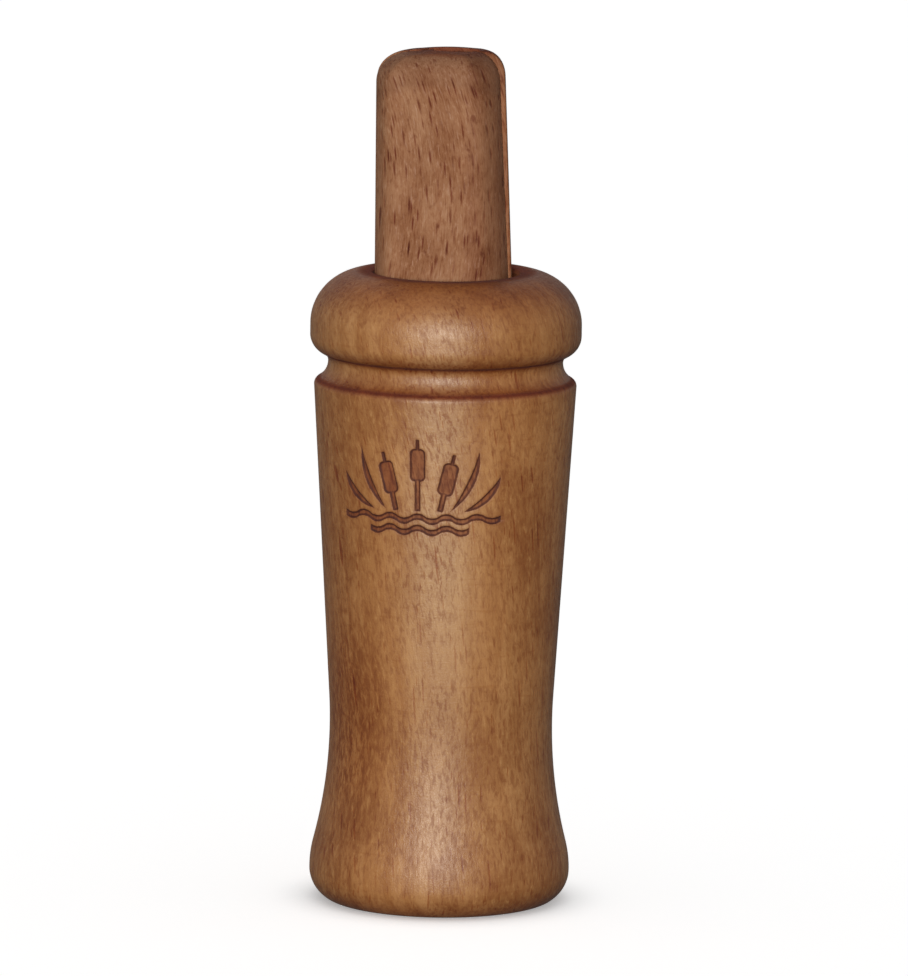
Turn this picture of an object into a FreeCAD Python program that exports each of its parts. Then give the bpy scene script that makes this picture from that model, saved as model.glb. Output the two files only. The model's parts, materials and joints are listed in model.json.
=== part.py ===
"""A wooden duck call that stands on its flared foot.

The barrel is a turned beech tube. The mouthpiece is a tenon and a flattened blade in two halves, a front cheek
and a tone board, with a reed and a cork wedge between them. Two rubber rings hold the halves and grip the bore.
The frame is in millimetres: the origin is the middle of the foot's resting ring, +Z points up the bore and -Y is
the front, where the ornament and the cheek are.
"""

import FreeCAD, Part
import math
import os

import Sketcher
from FreeCAD import Placement, Rotation, Vector

DIMENSIONS = {
    # Outside of the barrel, from the foot up.
    "foot_contact_radius": 15.127,
    "foot_arris_round": 2.0,
    "foot_edge_radius": 16.242,
    "foot_edge_height": 0.34,
    "foot_corner_round": 4.65,
    "flare_radius": 18.3,
    "flare_start_height": 4.2,
    "flare_round": 16.2,
    "flare_end_radius": 17.784,
    "flare_end_height": 8.256,
    "waist_round": 67.0,
    "taper_start_radius": 15.773,
    "taper_start_height": 29.1,
    "taper_end_radius": 18.38,
    "taper_end_height": 73.0,
    "edge_round": 0.95,
    "edge_end_radius": 17.896,
    "edge_end_height": 73.828,
    "cove_lower_round": 2.836,
    "cove_floor_radius": 16.45,
    "cove_floor_height": 76.3,
    "cove_upper_round": 1.3,
    "cove_end_radius": 17.257,
    "cove_end_height": 77.503,
    "bead_lower_round": 2.806,
    "bead_radius": 19.0,
    "bead_lower_height": 80.1,
    "bead_upper_height": 81.6,
    "bead_round": 7.4,
    "rim_height": 89.0,
    "rim_round": 0.8,
    # Inside of the barrel.
    "bore_radius": 10.25,
    "bore_stop_height": 60.0,
    "throat_radius": 9.0,
    "throat_start_height": 24.0,
    "bell_round": 105.7,
    "mouth_radius": 11.6,
    "mouth_round": 0.7,
    # Ornament burnt into the taper: cattails over ripples.
    "ornament_height": 61.0,
    "ornament_depth": 0.22,
    "core_bottom": 50.0,
    "core_length": 22.0,
    "stem_half_width": 0.4,
    "head_half_width": 1.1,
    "head_length": 4.6,
    "spike_half_width": 0.25,
    "spike_length": 1.3,
    "ripple_half_pitch": 2.0,
    "ripple_round": 1.7,
    "ripple_thickness": 0.9,
    # Tenon, the part of the mouthpiece in the bore.
    "tenon_bottom": 60.1,
    "tenon_top": 85.0,
    "tenon_radius": 9.95,
    "tenon_chamfer": 0.8,
    "ring_groove_radius": 8.15,
    "ring_groove_half": 1.3,
    "lower_ring_height": 66.0,
    "upper_ring_height": 79.5,
    "ring_radius": 9.2,
    "ring_cord_radius": 1.0,
    # Blade, the part of the mouthpiece above the bore. Each half is turned about its own leaning axis.
    "blade_start": 82.0,
    "board_base_radius": 9.72,
    "board_tip_radius": 9.03,
    "board_height": 38.2,
    "board_tip_round": 3.9,
    "board_shift": 0.35,
    "board_lean": 1.4,
    "cheek_base_radius": 9.56,
    "cheek_tip_radius": 8.7,
    "cheek_height": 38.15,
    "cheek_tip_round": 4.6,
    "cheek_shift": 0.5,
    "cheek_lean": 1.7,
    "flat_low": 7.05,
    "flat_high": 5.98,
    "flat_soften": 3.0,
    "shoulder_height": 116.15,
    "shoulder_start": 6.22,
    "shoulder_round": 4.15,
    "shoulder_end": 2.4,
    "shoulder_top": 120.3,
    "above_tip": 125.0,
    "mouthpiece_turn": 3.0,
    # Reed, its seat and the air's way past it.
    "reed_half_width": 6.25,
    "reed_thickness": 0.35,
    "tail_bottom": 62.0,
    "tail_top": 74.85,
    "tongue_bottom": 75.15,
    "tongue_top": 109.5,
    "tongue_corner": 2.0,
    "ramp_start": 72.0,
    "ramp_end": 111.0,
    "ramp_drop": 1.36,
    "track_width": 13.2,
    "channel_half_width": 3.0,
    "channel_wall": 1.8,
    "channel_round": 3.05,
    "channel_top": 105.0,
    "chamber_lip": 0.6,
    "chamber_depth": 2.6,
    "chamber_start": 77.0,
    "chamber_end": 109.0,
    "slot_start": 111.0,
    "slot_depth": 1.1,
    "slot_width": 9.0,
    "overcut": 1.0,
    # Cork wedge and its seat.
    "seat_width": 12.8,
    "wedge_width": 12.4,
    "wedge_bottom": 60.6,
    "wedge_top": 73.0,
    "wedge_thick": 3.55,
    "wedge_thin": 2.95,
}

# Foot of each cattail's stem and its stem's length, in millimetres, and its lean in degrees.
CATTAILS = ((0.0, -3.3, 4.2, 0.0), (-3.1, -3.3, 2.4, 14.0), (3.1, -3.3, 2.4, -14.0))
# Foot, tip, and the radii of the outer and inner edge of each right-hand leaf. The left-hand side mirrors them.
LEAVES = ((4.6, -3.2, 8.4, 5.2, 9.0, 30.0), (6.3, -3.3, 11.0, 1.5, 5.0, 16.0))
# Middle height and number of half waves of each ripple.
RIPPLES = ((-4.4, 11), (-6.0, 7))
LOCAL_FRONT = 8.0
FRONT_REACH = 14.0
PARTS_FOLDER = "parts"

document = FreeCAD.newDocument("duck_call")
sheet = document.addObject("Spreadsheet::Sheet", "dims")


def fill_sheet():
    for row, (alias, size) in enumerate(DIMENSIONS.items(), start=1):
        sheet.set(f"A{row}", alias.replace("_", " "))
        sheet.set(f"B{row}", str(size))
        sheet.setAlias(f"B{row}", alias)
    document.recompute()


def amount(words):
    """The present value of a sum of cells, such as "rim_height - rim_round"."""
    total = 0.0
    sign = 1.0
    for word in words.split():
        if word in "+-":
            sign = 1.0 if word == "+" else -1.0
        else:
            total += sign * (sheet.get(word) if word in DIMENSIONS else float(word))
    return total


def formula(words):
    """The same sum as a formula that reads the sheet."""
    return " ".join(f"dims.{word}" if word in DIMENSIONS else word for word in words.split())


# ---------------------------------------------------------------- outlines


def arc_between(start, end, radius, turn):
    """The short arc from start to end that turns left (1) or right (-1)."""
    chord = end - start
    left = Vector(-chord.y, chord.x, 0).normalize()
    centre = (start + end) / 2 + left * turn * math.sqrt(radius**2 - chord.Length**2 / 4)
    first, last = (start, end) if turn > 0 else (end, start)
    begin = math.atan2(first.y - centre.y, first.x - centre.x)
    finish = math.atan2(last.y - centre.y, last.x - centre.x)
    return Part.ArcOfCircle(Part.Circle(centre, Vector(0, 0, 1), radius), begin, finish)


def side(start, end, bend, size):
    """One side of an outline: a line, or an arc if bend is (radius, turn)."""
    if bend is None:
        return Part.LineSegment(start, end)
    return arc_between(start, end, size(bend[0]), bend[1])


def bind(sketch, constraint, words):
    index = sketch.addConstraint(constraint)
    sketch.setExpression(f"Constraints[{index}]", formula(words))


def pin_corner(sketch, line, end, across, up):
    """Holds one end of a line at a place given by two sums of cells."""
    for words, kind, axis in ((across, "DistanceX", -2), (up, "DistanceY", -1)):
        if words == "0":
            sketch.addConstraint(Sketcher.Constraint("PointOnObject", line, end, axis))
        else:
            bind(sketch, Sketcher.Constraint(kind, -1, 1, line, end, amount(words)), words)


def draw(sketch, corners):
    """A closed outline through corners (across, up, bend of the side that starts there)."""
    places = [Vector(amount(across), amount(up), 0) for across, up, bend in corners]
    ends = []
    for number, (across, up, bend) in enumerate(corners):
        following = places[(number + 1) % len(places)]
        line = sketch.addGeometry(side(places[number], following, bend, amount))
        ends.append((line, 2, 1) if bend and bend[1] < 0 else (line, 1, 2))
    for number, (across, up, bend) in enumerate(corners):
        line, start, end = ends[number]
        before, _, before_end = ends[number - 1]
        sketch.addConstraint(Sketcher.Constraint("Coincident", before, before_end, line, start))
        pin_corner(sketch, line, start, across, up)
        if bend:
            bind(sketch, Sketcher.Constraint("Radius", line, amount(bend[0])), bend[0])


# ---------------------------------------------------------------- bodies and features


def new_body(name):
    body = document.addObject("PartDesign::Body", name)
    body.Label = name
    return body


def sketch_on(body, name, role, corners, lift=None, lean=None):
    """A sketch on one of the body's origin planes, raised by a cell or leaning about its own normal."""
    sketch = body.newObject("Sketcher::SketchObject", name)
    plane = next(feature for feature in body.Origin.OriginFeatures if feature.Role == role)
    sketch.AttachmentSupport = [(plane, "")]
    sketch.MapMode = "FlatFace"
    if lift:
        sketch.setExpression("AttachmentOffset.Base.z", formula(lift))
    if lean:
        shift, start, angle = lean
        sketch.AttachmentOffset = Placement(Vector(), Rotation(Vector(0, 0, 1), amount(angle)))
        sketch.setExpression("AttachmentOffset.Base.x", f"-{formula(shift)}")
        sketch.setExpression("AttachmentOffset.Base.y", formula(start))
        sketch.setExpression("AttachmentOffset.Rotation.Angle", formula(angle))
    draw(sketch, corners)
    document.recompute()
    return sketch


def turn_about_axis(body, name, sketch, angle=360, towards_front=False):
    turned = body.newObject("PartDesign::Revolution", name)
    turned.Profile = sketch
    turned.ReferenceAxis = (sketch, ["V_Axis"])
    turned.Angle = angle
    turned.Reversed = towards_front
    document.recompute()
    return turned


def pad(body, name, sketch, length, symmetric=False):
    solid = body.newObject("PartDesign::Pad", name)
    solid.Profile = sketch
    solid.SideType = "Symmetric" if symmetric else "One side"
    solid.setExpression("Length", formula(length))
    document.recompute()
    return solid


def pocket(body, name, sketch, length, symmetric=False, reverse=False):
    """Cuts the sketch's outline out of the body, and stops if nothing was removed."""
    before = body.Shape.Volume
    cut = body.newObject("PartDesign::Pocket", name)
    cut.Profile = sketch
    cut.SideType = "Symmetric" if symmetric else "One side"
    cut.Reversed = reverse
    cut.setExpression("Length", formula(length))
    document.recompute()
    if body.Shape.Volume > before - 1:
        raise RuntimeError(f"{body.Name}.{name} removed nothing")
    return cut


def flat_border(shape, front):
    """Names of the two long edges of the flat."""
    facing = -1 if front else 1
    planes = [face for face in shape.Faces if isinstance(face.Surface, Part.Plane)]
    tilted = [face for face in planes if abs(face.Surface.Axis.z) < 0.1]
    flat = max(tilted, key=lambda face: facing * face.CenterOfMass.y)
    names = []
    for number, edge in enumerate(shape.Edges, start=1):
        on_flat = any(edge.isSame(border) for border in flat.Edges)
        if on_flat and edge.BoundBox.ZLength > edge.BoundBox.XLength:
            names.append(f"Edge{number}")
    return names


def soften(body, name, feature, edges, radius):
    """Rounds the named edges of a feature."""
    fillet = body.newObject("PartDesign::Fillet", name)
    fillet.Base = (feature, edges)
    fillet.setExpression("Radius", formula(radius))
    document.recompute()
    return fillet


def turn_mouthpiece(piece):
    """Turns a piece of the mouthpiece about the bore, so that its flat isn't quite under the ornament."""
    piece.Placement = Placement(Vector(), Rotation(Vector(0, 0, 1), amount("mouthpiece_turn")))
    piece.setExpression("Placement.Rotation.Angle", formula("mouthpiece_turn"))


# ---------------------------------------------------------------- barrel


def barrel_profile():
    """Half section of the barrel, anticlockwise from the foot: up the outside and down the bore."""
    return [
        ("mouth_radius + mouth_round", "0", None),
        ("foot_contact_radius", "0", ("foot_arris_round", 1)),
        ("foot_edge_radius", "foot_edge_height", ("foot_corner_round", 1)),
        ("flare_radius", "flare_start_height", ("flare_round", 1)),
        ("flare_end_radius", "flare_end_height", ("waist_round", -1)),
        ("taper_start_radius", "taper_start_height", None),
        ("taper_end_radius", "taper_end_height", ("edge_round", 1)),
        ("edge_end_radius", "edge_end_height", ("cove_lower_round", -1)),
        ("cove_floor_radius", "cove_floor_height", ("cove_upper_round", -1)),
        ("cove_end_radius", "cove_end_height", ("bead_lower_round", 1)),
        ("bead_radius", "bead_lower_height", None),
        ("bead_radius", "bead_upper_height", ("bead_round", 1)),
        ("bead_radius - bead_round", "rim_height", None),
        ("bore_radius + rim_round", "rim_height", ("rim_round", 1)),
        ("bore_radius", "rim_height - rim_round", None),
        ("bore_radius", "bore_stop_height", None),
        ("throat_radius", "bore_stop_height", None),
        ("throat_radius", "throat_start_height", ("bell_round", 1)),
        ("mouth_radius", "mouth_round", ("mouth_round", 1)),
    ]


def flat_face(corners):
    """A face in the XY plane through corners (x, y, bend)."""
    places = [Vector(x, y, 0) for x, y, bend in corners]
    sides = []
    for number, (x, y, bend) in enumerate(corners):
        following = places[(number + 1) % len(places)]
        sides.append(side(places[number], following, bend, float).toShape())
    return Part.Face(Part.Wire(Part.__sortEdges__(sides)))


def cattail(foot_x, foot_y, stem, lean):
    """A stem with a seed head and a spike, drawn upright and then leant about its foot."""
    thin = amount("stem_half_width")
    thick = amount("head_half_width")
    spike = amount("spike_half_width")
    swell = thick - thin
    shrink = thick - spike
    head_top = stem + amount("head_length")
    tip = head_top + amount("spike_length")
    right = [
        (thin, 0.0, None),
        (thin, stem, (swell, 1)),
        (thick, stem + swell, None),
        (thick, head_top - shrink, (shrink, 1)),
        (spike, head_top, None),
        (spike, tip, None),
    ]
    left = [
        (-spike, tip, None),
        (-spike, head_top, (shrink, 1)),
        (-thick, head_top - shrink, None),
        (-thick, stem + swell, (swell, 1)),
        (-thin, stem, None),
        (-thin, 0.0, None),
    ]
    face = flat_face(right + left)
    face.rotate(Vector(), Vector(0, 0, 1), lean)
    face.translate(Vector(foot_x, foot_y, 0))
    return face


def leaf(foot_x, foot_y, tip_x, tip_y, outer, inner, turn):
    """A blade between two arcs that both bow the same way."""
    return flat_face([(foot_x, foot_y, (outer, turn)), (tip_x, tip_y, (inner, -turn))])


def ripple(height, waves):
    """A wavy band of arcs that bend up and down in turn."""
    step = amount("ripple_half_pitch")
    bend = amount("ripple_round")
    half = amount("ripple_thickness") / 2
    start = -step * waves / 2
    lower = [(start + step * n, height - half, (bend, 1 - 2 * (n % 2))) for n in range(waves)]
    upper = [
        (start + step * (n + 1), height + half, (bend, 2 * (n % 2) - 1)) for n in reversed(range(waves))
    ]
    lower.append((start + step * waves, height - half, None))
    upper.append((start, height + half, None))
    return flat_face(lower + upper)


def ornament_faces():
    faces = [cattail(*sizes) for sizes in CATTAILS]
    for foot_x, foot_y, tip_x, tip_y, outer, inner in LEAVES:
        faces.append(leaf(foot_x, foot_y, tip_x, tip_y, outer, inner, 1))
        faces.append(leaf(-foot_x, foot_y, -tip_x, tip_y, outer, inner, -1))
    faces += [ripple(*sizes) for sizes in RIPPLES]
    return faces


def ornament_cutter():
    """The ornament's outline reaching forward from a cone that lies just under the barrel's surface."""
    prism = document.addObject("Part::Feature", "ornament_prism")
    prism.Shape = Part.makeCompound([face.extrude(Vector(0, 0, FRONT_REACH)) for face in ornament_faces()])
    prism.Placement = Placement(
        Vector(0, -LOCAL_FRONT, amount("ornament_height")), Rotation(Vector(1, 0, 0), 90)
    )
    core = document.addObject("Part::Cone", "ornament_core")
    core.setExpression("Placement.Base.z", formula("core_bottom"))
    core.setExpression("Height", formula("core_length"))
    slope = (
        "(dims.taper_end_radius - dims.taper_start_radius)"
        " / (dims.taper_end_height - dims.taper_start_height)"
    )
    bottom = "dims.taper_start_radius - dims.ornament_depth"
    rise = "(dims.core_bottom - dims.taper_start_height)"
    core.setExpression("Radius1", f"{bottom} + {rise} * {slope}")
    core.setExpression("Radius2", f"{bottom} + ({rise} + dims.core_length) * {slope}")
    cutter = document.addObject("Part::Cut", "ornament_cutter")
    cutter.Base = prism
    cutter.Tool = core
    document.recompute()
    return cutter


def make_barrel():
    body = new_body("barrel_turned")
    sketch = sketch_on(body, "barrel_profile", "XZ_Plane", barrel_profile())
    turn_about_axis(body, "barrel_turning", sketch)
    barrel = document.addObject("Part::Cut", "barrel")
    barrel.Label = "barrel"
    barrel.Base = body
    barrel.Tool = ornament_cutter()
    document.recompute()
    return barrel


# ---------------------------------------------------------------- mouthpiece


def tenon_profile():
    """Half section of the tenon, with its two ring grooves."""
    corners = [
        ("0", "tenon_bottom", None),
        ("tenon_radius - tenon_chamfer", "tenon_bottom", None),
        ("tenon_radius", "tenon_bottom + tenon_chamfer", None),
    ]
    for ring in ("lower_ring_height", "upper_ring_height"):
        corners += [
            ("tenon_radius", f"{ring} - ring_groove_half", None),
            ("ring_groove_radius", f"{ring} - ring_groove_half", None),
            ("ring_groove_radius", f"{ring} + ring_groove_half", None),
            ("tenon_radius", f"{ring} + ring_groove_half", None),
        ]
    return corners + [("tenon_radius", "tenon_top", None), ("0", "tenon_top", None)]


def blade_profile(half):
    """Half section of one half's blade, measured along its own axis from blade_start."""
    return [
        ("0", "0", None),
        (f"{half}_base_radius", "0", None),
        (f"{half}_tip_radius", f"{half}_height - {half}_tip_round", (f"{half}_tip_round", 1)),
        (f"{half}_tip_radius - {half}_tip_round", f"{half}_height", None),
        ("0", f"{half}_height", None),
    ]


def turned_half(name, half, front):
    """A half round of the mouthpiece, with the flat for the lips and the shoulder over it."""
    body = new_body(name)
    tenon = sketch_on(body, f"{half}_tenon_profile", "XZ_Plane", tenon_profile())
    turn_about_axis(body, f"{half}_tenon", tenon, 180, front)
    lean = (f"{half}_shift", "blade_start", f"{half}_lean")
    blade = sketch_on(body, f"{half}_blade_profile", "XZ_Plane", blade_profile(half), lean=lean)
    turn_about_axis(body, f"{half}_blade", blade, 180, front)
    sign = "-" if front else "+"
    outline = [
        (f"0 {sign} flat_low", "tenon_top", None),
        (f"0 {sign} flat_high", "above_tip", None),
        (f"0 {sign} tenon_radius {sign} overcut", "above_tip", None),
        (f"0 {sign} tenon_radius {sign} overcut", "tenon_top", None),
    ]
    flat = sketch_on(body, f"{half}_flat_outline", "YZ_Plane", outline)
    cut = pocket(body, f"{half}_flat", flat, "tenon_radius + tenon_radius", symmetric=True)
    soften(body, f"{half}_flat_border", cut, flat_border(cut.Shape, front), "flat_soften")
    outline = [
        (f"0 {sign} shoulder_start", "shoulder_height", ("shoulder_round", -1 if front else 1)),
        (f"0 {sign} shoulder_end", "shoulder_top", None),
        (f"0 {sign} shoulder_end", "above_tip", None),
        (f"0 {sign} tenon_radius {sign} overcut", "above_tip", None),
        (f"0 {sign} tenon_radius {sign} overcut", "shoulder_height", None),
    ]
    shoulder = sketch_on(body, f"{half}_shoulder_outline", "YZ_Plane", outline)
    pocket(body, f"{half}_shoulder", shoulder, "tenon_radius + tenon_radius", symmetric=True)
    return body


def make_front_cheek():
    """The front half, hollowed over the reed, with a seat for the wedge at its lower end."""
    body = turned_half("front_cheek", "cheek", True)
    chamber = [
        ("overcut", "wedge_top", None),
        ("0 - chamber_lip", "wedge_top", None),
        ("0 - chamber_depth", "chamber_start", None),
        ("0 - chamber_depth", "chamber_end", None),
        ("0 - slot_depth", "slot_start", None),
        ("overcut", "slot_start", None),
    ]
    slot = [
        ("overcut", "chamber_end", None),
        ("0 - slot_depth", "chamber_end", None),
        ("0 - slot_depth", "above_tip", None),
        ("overcut", "above_tip", None),
    ]
    seat = [
        ("overcut", "tenon_bottom - overcut", None),
        ("0 - reed_thickness - wedge_thick", "tenon_bottom - overcut", None),
        ("0 - reed_thickness - wedge_thick", "wedge_bottom", None),
        ("0 - reed_thickness - wedge_thin", "wedge_top", None),
        ("overcut", "wedge_top", None),
    ]
    for name, outline, width in (
        ("reed_chamber", chamber, "track_width"),
        ("cheek_mouth_slot", slot, "slot_width"),
        ("wedge_seat", seat, "seat_width"),
    ):
        sketch = sketch_on(body, f"{name}_outline", "YZ_Plane", outline)
        pocket(body, name, sketch, width, symmetric=True)
    turn_mouthpiece(body)
    return body


def make_tone_board():
    """The back half: its face falls away under the reed, over a tone channel that runs down to the barrel."""
    body = turned_half("tone_board", "board", False)
    ramp = [
        ("0 - overcut", "ramp_start", None),
        ("0", "ramp_start", None),
        ("ramp_drop", "ramp_end", None),
        ("0 - overcut", "ramp_end", None),
    ]
    slot = [
        ("0 - overcut", "chamber_end", None),
        ("slot_depth", "chamber_end", None),
        ("slot_depth", "above_tip", None),
        ("0 - overcut", "above_tip", None),
    ]
    channel = [
        ("0 - channel_half_width", "0 - overcut", None),
        ("channel_half_width", "0 - overcut", None),
        ("channel_half_width", "channel_wall", ("channel_round", 1)),
        ("0 - channel_half_width", "channel_wall", None),
    ]
    for name, outline, width in (
        ("reed_ramp", ramp, "track_width"),
        ("board_mouth_slot", slot, "slot_width"),
    ):
        sketch = sketch_on(body, f"{name}_outline", "YZ_Plane", outline)
        pocket(body, name, sketch, width, symmetric=True)
    section = sketch_on(body, "tone_channel_section", "XY_Plane", channel, lift="tenon_bottom - overcut")
    pocket(body, "tone_channel", section, "channel_top - tenon_bottom + overcut", reverse=True)
    turn_mouthpiece(body)
    return body


def make_reed_piece(name, outline):
    body = new_body(name)
    sketch = sketch_on(body, f"{name}_outline", "XZ_Plane", outline)
    pad(body, f"{name}_sheet", sketch, "reed_thickness")
    turn_mouthpiece(body)
    return body


def make_reed_tail():
    """The clamped end of the reed."""
    return make_reed_piece(
        "reed_tail",
        [
            ("0 - reed_half_width", "tail_bottom", None),
            ("reed_half_width", "tail_bottom", None),
            ("reed_half_width", "tail_top", None),
            ("0 - reed_half_width", "tail_top", None),
        ],
    )


def make_reed_tongue():
    """The free end of the reed, with its tip's corners rounded off."""
    return make_reed_piece(
        "reed_tongue",
        [
            ("0 - reed_half_width", "tongue_bottom", None),
            ("reed_half_width", "tongue_bottom", None),
            ("reed_half_width", "tongue_top - tongue_corner", ("tongue_corner", 1)),
            ("reed_half_width - tongue_corner", "tongue_top", None),
            ("0 - reed_half_width + tongue_corner", "tongue_top", ("tongue_corner", 1)),
            ("0 - reed_half_width", "tongue_top - tongue_corner", None),
        ],
    )


def make_cork_wedge():
    """A slice of cork between the reed's tail and the cheek, thicker at its lower end."""
    body = new_body("cork_wedge")
    outline = [
        ("0 - reed_thickness", "wedge_bottom", None),
        ("0 - reed_thickness", "wedge_top", None),
        ("0 - reed_thickness - wedge_thin", "wedge_top", None),
        ("0 - reed_thickness - wedge_thick", "wedge_bottom", None),
    ]
    sketch = sketch_on(body, "cork_wedge_outline", "YZ_Plane", outline)
    pad(body, "cork_wedge_slice", sketch, "wedge_width", symmetric=True)
    turn_mouthpiece(body)
    return body


def make_ring(level):
    """A rubber ring in one of the tenon's grooves."""
    ring = document.addObject("Part::Torus", f"{level}_o_ring")
    ring.Label = f"{level}_o_ring"
    ring.setExpression("Radius1", formula("ring_radius"))
    ring.setExpression("Radius2", formula("ring_cord_radius"))
    ring.setExpression("Placement.Base.z", formula(f"{level}_ring_height"))
    document.recompute()
    return ring


# ---------------------------------------------------------------- checking and writing


def check_document():
    for item in document.Objects:
        if "Invalid" in item.State or "Error" in item.State:
            raise RuntimeError(f"{item.Name} failed: {item.State}")


def write_piece(piece):
    shape = piece.Shape
    if shape.isNull() or not shape.isValid() or len(shape.Solids) != 1:
        raise RuntimeError(f"{piece.Label} isn't one valid solid")
    shape.exportStep(os.path.join(PARTS_FOLDER, f"{piece.Label}.step"))
    box = shape.optimalBoundingBox()
    print(f"{piece.Label}: {shape.Volume:.1f} mm3, z {box.ZMin:.2f} to {box.ZMax:.2f}")


def main():
    fill_sheet()
    pieces = [
        make_barrel(),
        make_front_cheek(),
        make_tone_board(),
        make_reed_tail(),
        make_reed_tongue(),
        make_cork_wedge(),
        make_ring("lower"),
        make_ring("upper"),
    ]
    document.recompute()
    check_document()
    os.makedirs(PARTS_FOLDER, exist_ok=True)
    for piece in pieces:
        write_piece(piece)


main()
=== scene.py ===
import json
import math

import bmesh
import bpy
import numpy as np
from mathutils import Matrix, Vector, noise


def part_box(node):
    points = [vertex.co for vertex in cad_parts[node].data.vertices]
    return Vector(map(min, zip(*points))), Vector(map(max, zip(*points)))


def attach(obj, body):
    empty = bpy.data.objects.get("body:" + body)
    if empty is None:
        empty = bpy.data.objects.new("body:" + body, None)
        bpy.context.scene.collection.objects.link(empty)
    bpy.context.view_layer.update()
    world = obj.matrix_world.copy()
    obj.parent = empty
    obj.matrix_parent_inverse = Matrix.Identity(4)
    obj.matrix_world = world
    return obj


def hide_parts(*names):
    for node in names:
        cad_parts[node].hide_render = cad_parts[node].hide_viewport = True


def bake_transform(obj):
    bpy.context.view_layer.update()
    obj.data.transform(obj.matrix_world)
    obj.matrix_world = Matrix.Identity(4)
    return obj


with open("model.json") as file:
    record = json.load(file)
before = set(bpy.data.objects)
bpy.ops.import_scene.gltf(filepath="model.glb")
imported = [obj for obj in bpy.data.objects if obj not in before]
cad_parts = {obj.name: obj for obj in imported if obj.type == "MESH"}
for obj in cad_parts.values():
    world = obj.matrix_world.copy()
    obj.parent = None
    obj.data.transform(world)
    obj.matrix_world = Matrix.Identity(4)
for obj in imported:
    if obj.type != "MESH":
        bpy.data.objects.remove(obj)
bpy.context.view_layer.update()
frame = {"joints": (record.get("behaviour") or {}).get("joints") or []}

# The looks of the wooden duck call. Lengths are in millimetres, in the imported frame, and become metres only
# when a mesh is made. +Z points up the bore, and -Y is the front, where the ornament and the cheek are.
MM = 0.001
EDGE_GAP = 0.01
ROW_SPACING = 0.6
SHARP_ANGLE = math.radians(38)


def box_mm(node):
    low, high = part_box(node)
    return low / MM, high / MM


def joint(name):
    return next(j for j in frame["joints"] if j["name"] == name)


# ---------------- sizes

BARREL_LOW, BARREL_HIGH = box_mm("barrel")
RIM_HEIGHT = BARREL_HIGH.z
BEAD_RADIUS = BARREL_HIGH.x
BORE_RADIUS = 10.25
BORE_STOP = 60.0
LIP_ROUND = 0.5
THROAT_RADIUS = 9.0
THROAT_END = 24.0
BELL_ROUND = 105.7
MOUTH_RADIUS = 11.6
MOUTH_ROUND = 0.7

# Points of the outside (radius, height), each followed by the radius of its arc where one starts there.
FOOT_RING = (15.127, 0.0)
FOOT_RING_ROUND = 2.0
FOOT_ROLL = (16.242, 0.34)
FOOT_ROLL_ROUND = 4.65
FOOT_SIDE = (18.3, 4.2)
FOOT_SIDE_ROUND = 16.2
FLARE = (17.784, 8.256)
FLARE_ROUND = 67.0
TAPER_START = (15.773, 29.1)
TAPER_END = (18.38, 73.0)
TAPER_EDGE_ROUND = 0.95
GROOVE_LOW = (17.896, 73.828)
GROOVE_LOW_ROUND = 2.836
GROOVE_FLOOR = (16.45, 76.3)
GROOVE_FLOOR_ROUND = 1.3
GROOVE_HIGH = (17.257, 77.503)
GROOVE_HIGH_ROUND = 2.806
BEAD_SIDE_LOW = 80.1
BEAD_SIDE_HIGH = 81.6
BEAD_ROUND = 7.4

BEAD_SHADE = (77.0, 80.0)
ORNAMENT_HEIGHT = 61.0
ORNAMENT_DEPTH = 0.22
ORNAMENT_LOW = 52.4
ORNAMENT_HIGH = 69.4
ORNAMENT_HALF_ANGLE = math.radians(39)
ORNAMENT_WALL = (-0.2, 0.04)
FAR_FROM_ORNAMENT = 2.0

HINGE_AXIS = joint("reed_bend")["axis"]
MOUTHPIECE_TURN = math.atan2(-HINGE_AXIS[1], -HINGE_AXIS[0])
TENON_BOTTOM = box_mm("tone_board")[0].z
TENON_TOP = 85.0
TENON_RADIUS = 9.95
TENON_CHAMFER = 0.8
RING_GROOVE_RADIUS = 8.15
RING_GROOVE_HALF = 1.3
BLADE_START = 82.0
FLAT_LOW = 7.05
FLAT_HIGH = 5.98
FLAT_TOP_HEIGHT = 125.0
FLAT_ROUND = 3.0
SHOULDER_START = (6.22, 116.15)
SHOULDER_END = (2.4, 120.3)
SHOULDER_ROUND = 4.15
BORDER_FADE = (114.5, 118.5)
BORDER_LOSS = 2.1
SPLIT_EDGE_ROUND = 0.3
THIN_EDGE_ROUND = 0.03
FLAT_CROWN = 0.07
HAND_SANDING = 0.03
LEAN_FADE_END = 118.0
SHOULDER_SHADE = (114.9, 116.6)
SHOULDER_SHADE_ARC = 0.03
FLANK_SHADE = (3.0, 5.0)
TIP_SHADE = (119.3, 120.1)
TIP_SWAY = 0.042
TIP_SWAY_START = 116.5

REED_THICKNESS = 0.35
REED_HALF_WIDTH = 6.25
REED_CORNER = 2.0
REED_BEVEL = 0.05
SEAT_HALF_WIDTH = 6.4
TRACK_HALF_WIDTH = 6.6
SLOT_HALF_WIDTH = 4.5
CHANNEL_HALF_WIDTH = 3.0
CHANNEL_WALL = 1.8
CHANNEL_ROUND = 3.05
CHANNEL_TOP = 105.0
RAMP_START = 72.0
RAMP_END = 111.0
RAMP_DROP = 1.36
WEDGE_BOTTOM = 60.6
WEDGE_TOP = 73.0
WEDGE_THICK = 3.55
WEDGE_THIN = 2.95
WEDGE_HALF_WIDTH = 6.2
PIT_DEPTH = 0.3
CHAMBER_LIP = 0.6
CHAMBER_DEPTH = 2.6
CHAMBER_START = 77.0
CHAMBER_END = 109.0
SLOT_DEPTH = 1.1

# Zones across the split face, from its middle outwards.
CHANNEL, SLOT, TRACK, RIM = range(4)

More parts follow.
